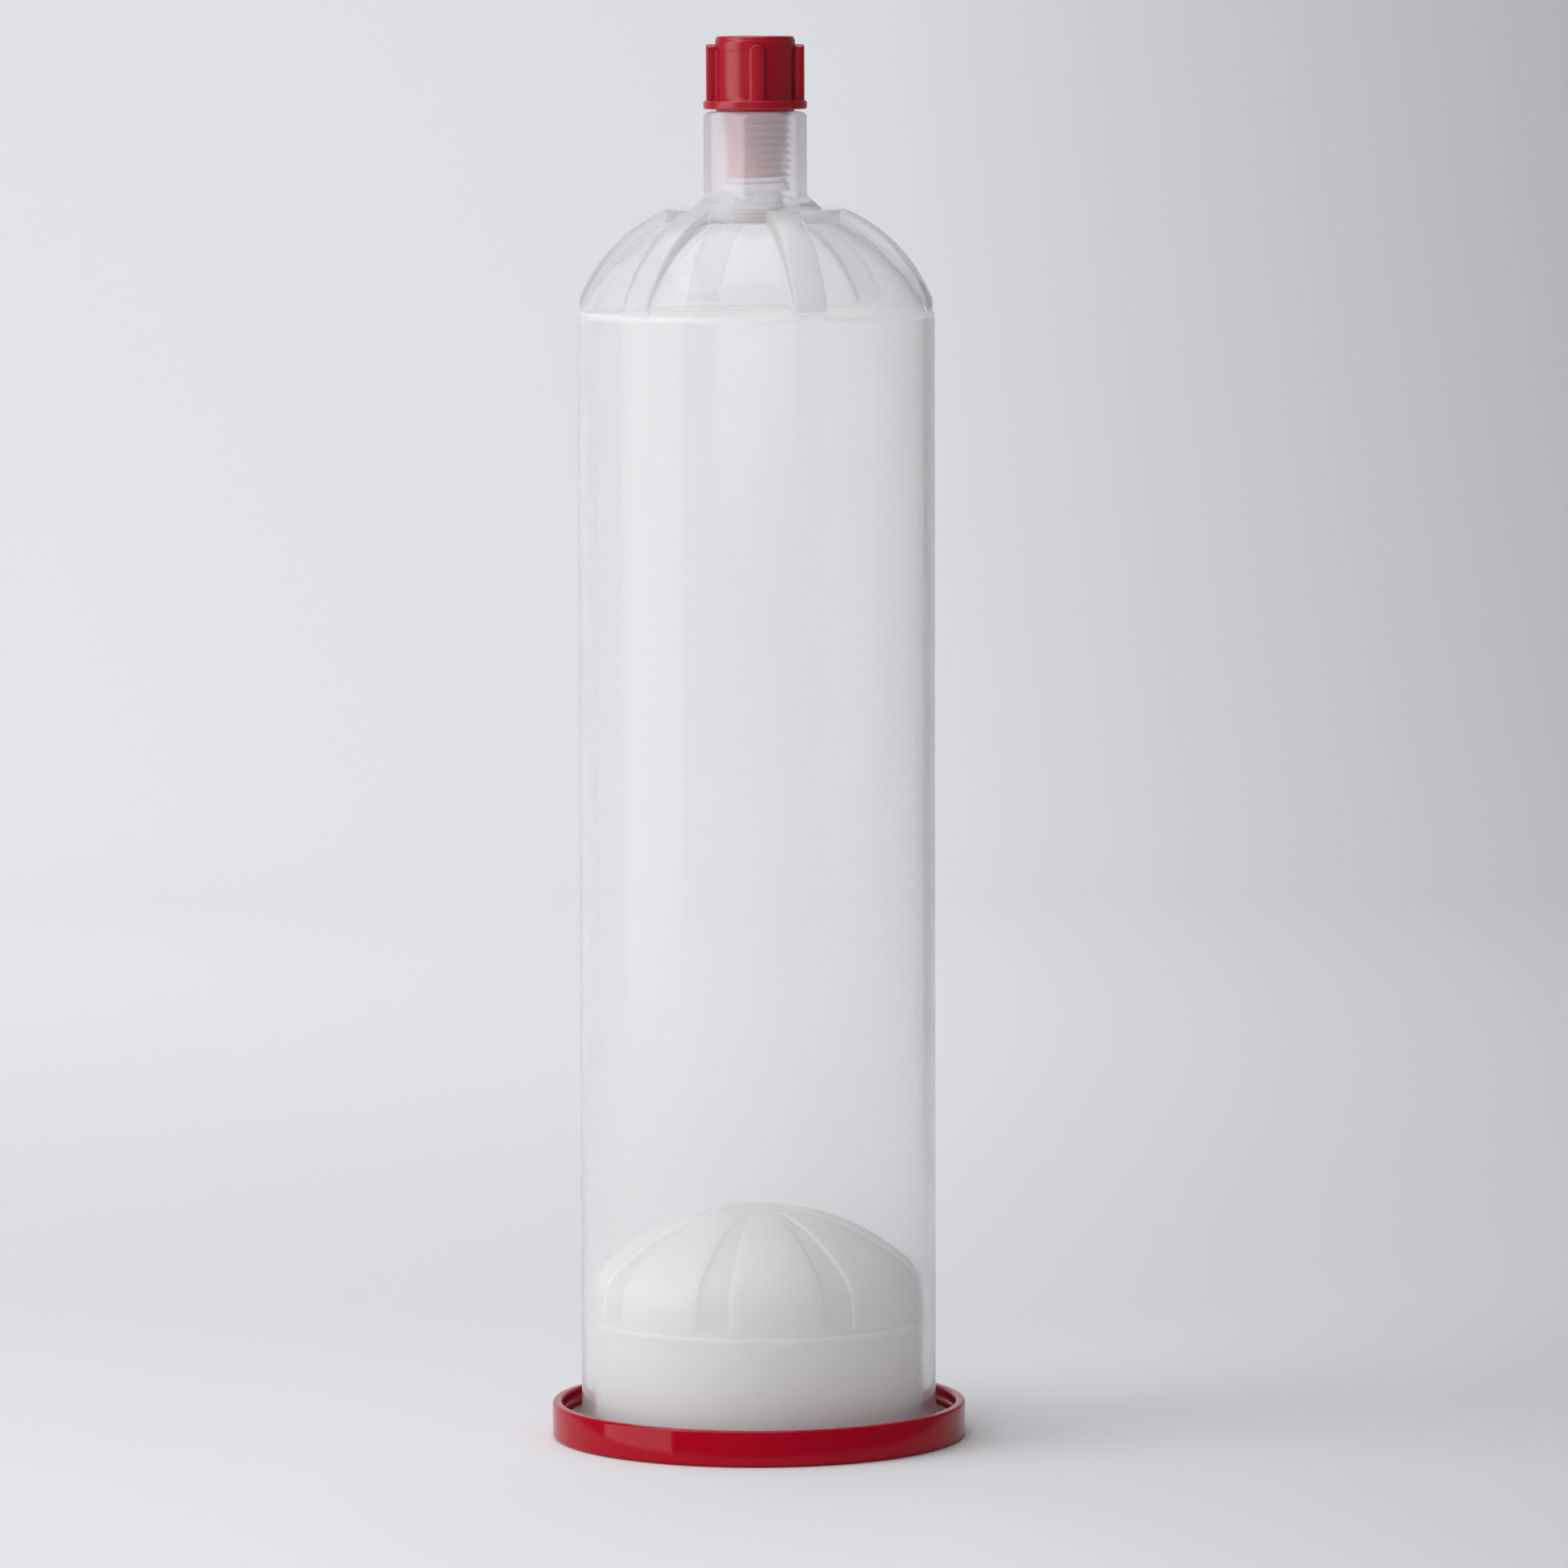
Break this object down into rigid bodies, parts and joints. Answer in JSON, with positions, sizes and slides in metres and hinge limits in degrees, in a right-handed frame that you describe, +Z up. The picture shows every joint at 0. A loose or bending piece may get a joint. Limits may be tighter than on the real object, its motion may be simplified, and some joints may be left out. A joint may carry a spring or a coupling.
{
  "type": "dispensing cartridge",
  "caption": "Translucent dispensing cartridge with a ribbed domed nose, hexagonal threaded neck, domed plunger inside, red screw plug and red push-fit end cap.",
  "frame": {"origin": "centre of the end cap's underside, which stands on the floor", "axes": "+Z up along the barrel's axis towards the neck, one nose rib and one flat of the neck face -Y"},
  "size_m": [0.0794, 0.0794, 0.2679],
  "materials": {
    "red_cap": "moulded gloss",
    "translucent_barrel": "translucent, smooth moulded",
    "white_plunger": "satin",
    "red_plug": "moulded gloss"
  },
  "bodies": {
    "end_cap": {"end_cap": "red_cap"},
    "barrel": {"barrel": "translucent_barrel"},
    "plunger": {"plunger": "white_plunger"},
    "tip_plug": {"tip_plug": "red_plug"}
  },
  "joints": [
    {"name": "barrel_lift", "type": "slide", "parent": "end_cap", "child": "barrel", "axis": [0, 0, 1], "range_m": [0, 0.03]},
    {"name": "plunger_slide", "type": "slide", "parent": "barrel", "child": "plunger", "axis": [0, 0, 1], "range_m": [0, 0.185]},
    {"name": "plug_lift", "type": "slide", "parent": "barrel", "child": "tip_plug", "axis": [0, 0, 1], "range_m": [0, 0.03]}
  ]
}
